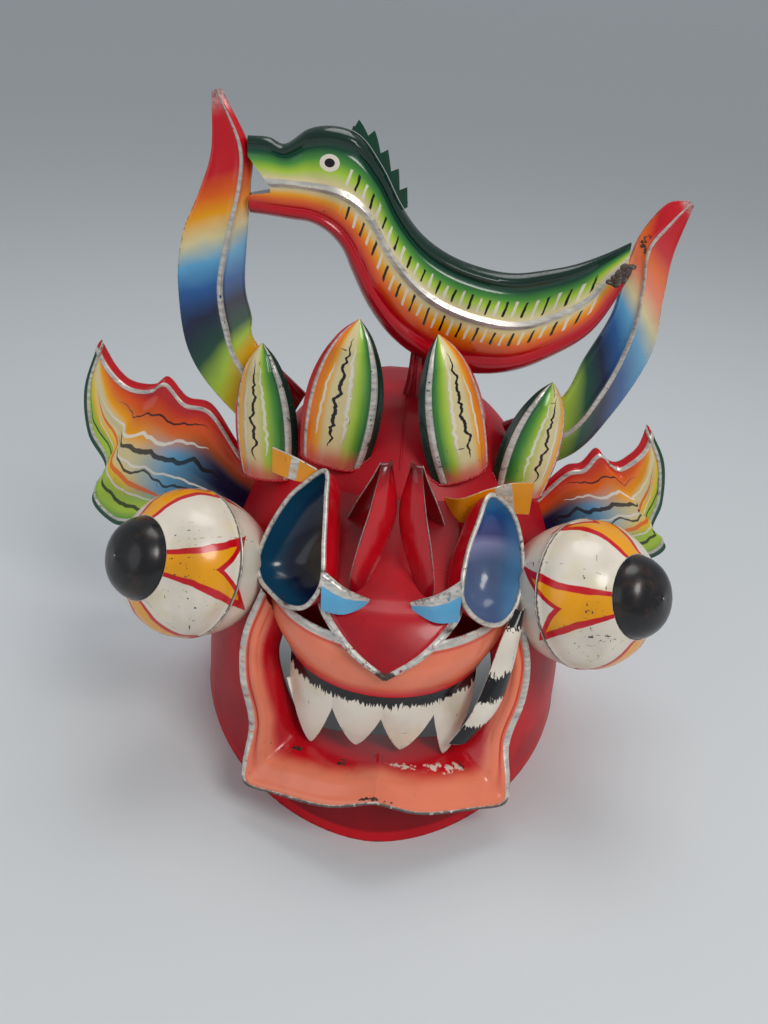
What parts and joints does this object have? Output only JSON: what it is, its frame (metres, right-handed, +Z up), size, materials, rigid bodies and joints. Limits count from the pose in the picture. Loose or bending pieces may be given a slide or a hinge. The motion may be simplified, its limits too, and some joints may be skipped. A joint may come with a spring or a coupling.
{
  "type": "carnival devil mask",
  "caption": "Full-head carnival devil mask of painted sheet metal, with horns, bulging eyes, wing ears, crown leaves, toothed mouth and a serpent on top.",
  "frame": {"origin": "middle of the mask's bounding box, on the floor plane that its rim stands on", "axes": "+Z up, -Y the way the face looks, +X the viewer's right"},
  "size_m": [0.4203, 0.2493, 0.413],
  "materials": {
    "crimson_enamel": "glossy brushed and airbrushed enamel over sheet metal, chipped and scratched",
    "salmon_enamel": "glossy brushed and airbrushed enamel over sheet metal, chipped and scratched",
    "leaf_enamel": "glossy brushed and airbrushed enamel over sheet metal, chipped and scratched",
    "rainbow_enamel": "glossy brushed and airbrushed enamel over sheet metal, chipped and scratched",
    "wing_enamel": "glossy brushed and airbrushed enamel over sheet metal, chipped and scratched",
    "eye_enamel": "glossy brushed and airbrushed enamel over sheet metal, chipped and scratched",
    "pupil_enamel": "glossy brushed and airbrushed enamel over sheet metal, chipped and scratched",
    "bowl_enamel": "glossy brushed and airbrushed enamel over sheet metal, chipped and scratched",
    "sky_enamel": "glossy brushed and airbrushed enamel over sheet metal, chipped and scratched",
    "brow_enamel": "glossy brushed and airbrushed enamel over sheet metal, chipped and scratched",
    "serpent_enamel": "glossy brushed and airbrushed enamel over sheet metal, chipped and scratched",
    "crest_enamel": "glossy brushed and airbrushed enamel over sheet metal, chipped and scratched",
    "post_enamel": "glossy brushed and airbrushed enamel over sheet metal, chipped and scratched",
    "tooth_enamel": "glossy brushed and airbrushed enamel over sheet metal, chipped and scratched",
    "tusk_enamel": "glossy brushed and airbrushed enamel over sheet metal, chipped and scratched"
  },
  "bodies": {
    "root": {"brow_left": "brow_enamel", "brow_right": "brow_enamel", "ear_left": "wing_enamel", "ear_right": "wing_enamel", "eye_back_left": "eye_enamel", "eye_back_right": "eye_enamel", "eye_front_left": "eye_enamel", "eye_front_right": "eye_enamel", "horn_left": "rainbow_enamel", "horn_right": "rainbow_enamel", "leaf_inner_left": "leaf_enamel", "leaf_inner_right": "leaf_enamel", "leaf_outer_left": "leaf_enamel", "leaf_outer_right": "leaf_enamel", "mouth_flare": "salmon_enamel", "nose": "crimson_enamel", "nose_fin_left": "crimson_enamel", "nose_fin_right": "crimson_enamel", "nostril_cup_left": "bowl_enamel", "nostril_cup_right": "bowl_enamel", "nostril_flap_left": "sky_enamel", "nostril_flap_right": "sky_enamel", "pupil_left": "pupil_enamel", "pupil_right": "pupil_enamel", "serpent_body": "serpent_enamel", "serpent_crest": "crest_enamel", "serpent_strut": "post_enamel", "shell": "crimson_enamel", "teeth": "tooth_enamel", "tusk_right": "tusk_enamel", "tusk_stub_left": "tooth_enamel", "upper_lip": "salmon_enamel"}
  },
  "joints": []
}
